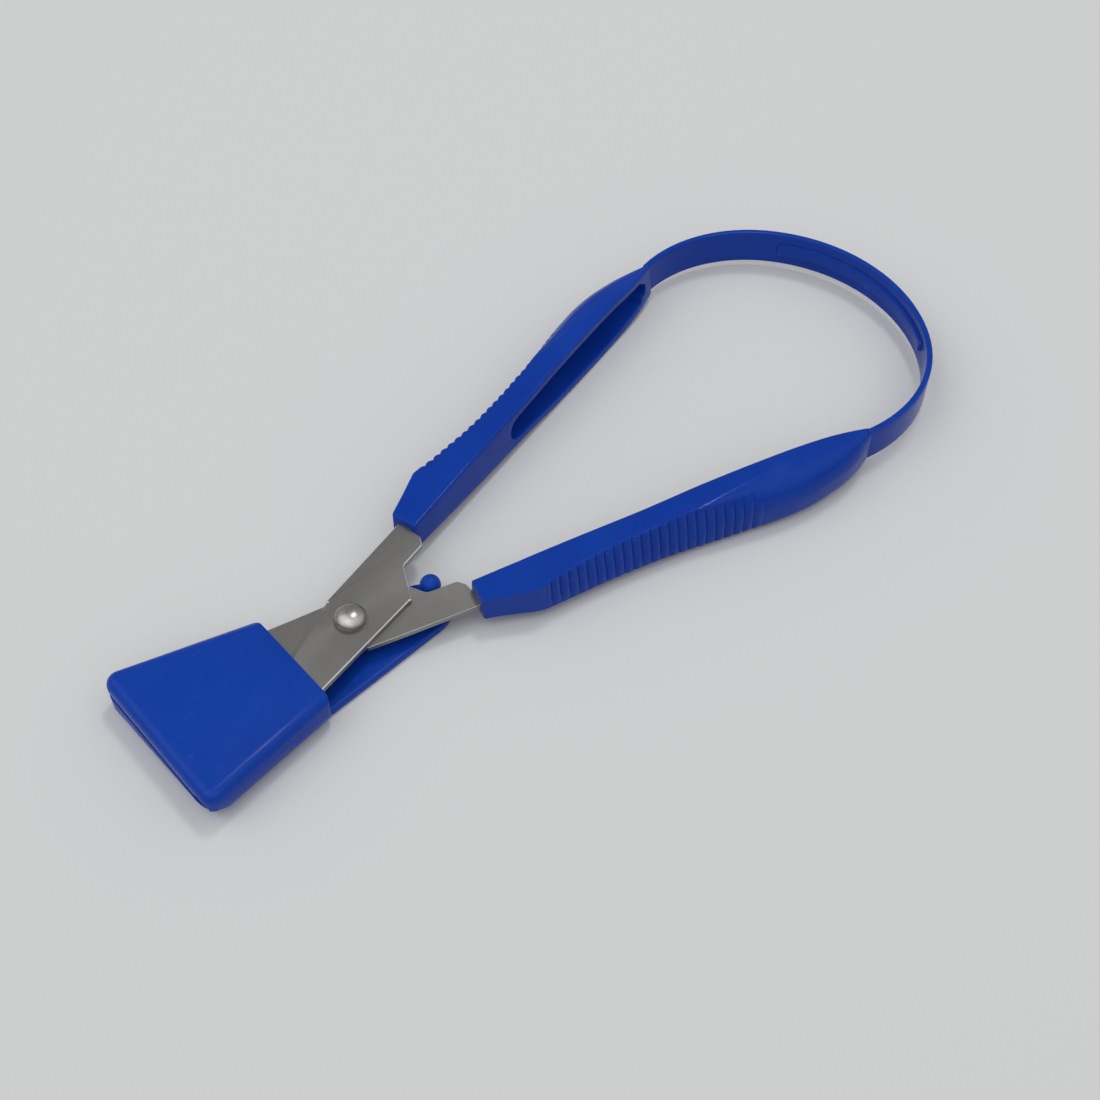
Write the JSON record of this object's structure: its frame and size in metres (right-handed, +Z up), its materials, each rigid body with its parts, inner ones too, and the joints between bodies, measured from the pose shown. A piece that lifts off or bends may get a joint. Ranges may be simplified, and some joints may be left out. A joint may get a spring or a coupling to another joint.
{
  "type": "self-opening loop-handle scissors",
  "caption": "Easy-grip scissors lying open: round-tipped steel blades on one rivet, two ribbed grips joined by a springy loop, and a clip-on plastic blade guard.",
  "frame": {"origin": "centre of the footprint, on the surface the scissors lie on", "axes": "+X along the centre line from the blade tips towards the loop, +Y towards the handle of the upper blade, +Z up; the blades pivot about Z"},
  "size_m": [0.1989, 0.076, 0.0124],
  "materials": {
    "blade_steel": "satin ground stainless steel",
    "rivet_metal": "polished dome",
    "blue_plastic": "blue polypropylene, satin with glossy grip ends",
    "guard_plastic": "blue polypropylene, satin, lightly scuffed"
  },
  "bodies": {
    "pivot": {"pivot_rivet": "rivet_metal", "loop_strap": "blue_plastic"},
    "upper_half": {"upper_blade": "blade_steel", "upper_handle": "blue_plastic"},
    "lower_half": {"lower_blade": "blade_steel", "lower_handle": "blue_plastic"},
    "guard": {"guard_sleeve": "guard_plastic", "guard_tongue": "guard_plastic"}
  },
  "joints": [
    {"name": "close_upper", "type": "hinge", "parent": "pivot", "child": "upper_half", "pos_m": [-0.05435, 0, 0.0062], "axis": [0, 0, -1], "range_deg": [0, 15.5], "stiffness_Nm_per_rad": 1.2, "springref_deg": -2.86, "deforming": ["loop_strap", "guard_tongue"]},
    {"name": "close_lower", "type": "hinge", "parent": "pivot", "child": "lower_half", "pos_m": [-0.05435, 0, 0.0062], "axis": [0, 0, 1], "range_deg": [0, 15.5], "deforming": ["loop_strap", "guard_tongue"]},
    {"name": "guard_slide", "type": "slide", "parent": "pivot", "child": "guard", "axis": [-1, 0, 0], "range_m": [0, 0.09], "deforming": ["guard_sleeve", "guard_tongue"]}
  ],
  "couplings": [
    {"joint": "close_lower", "follows": "close_upper", "ratio": 1}
  ]
}
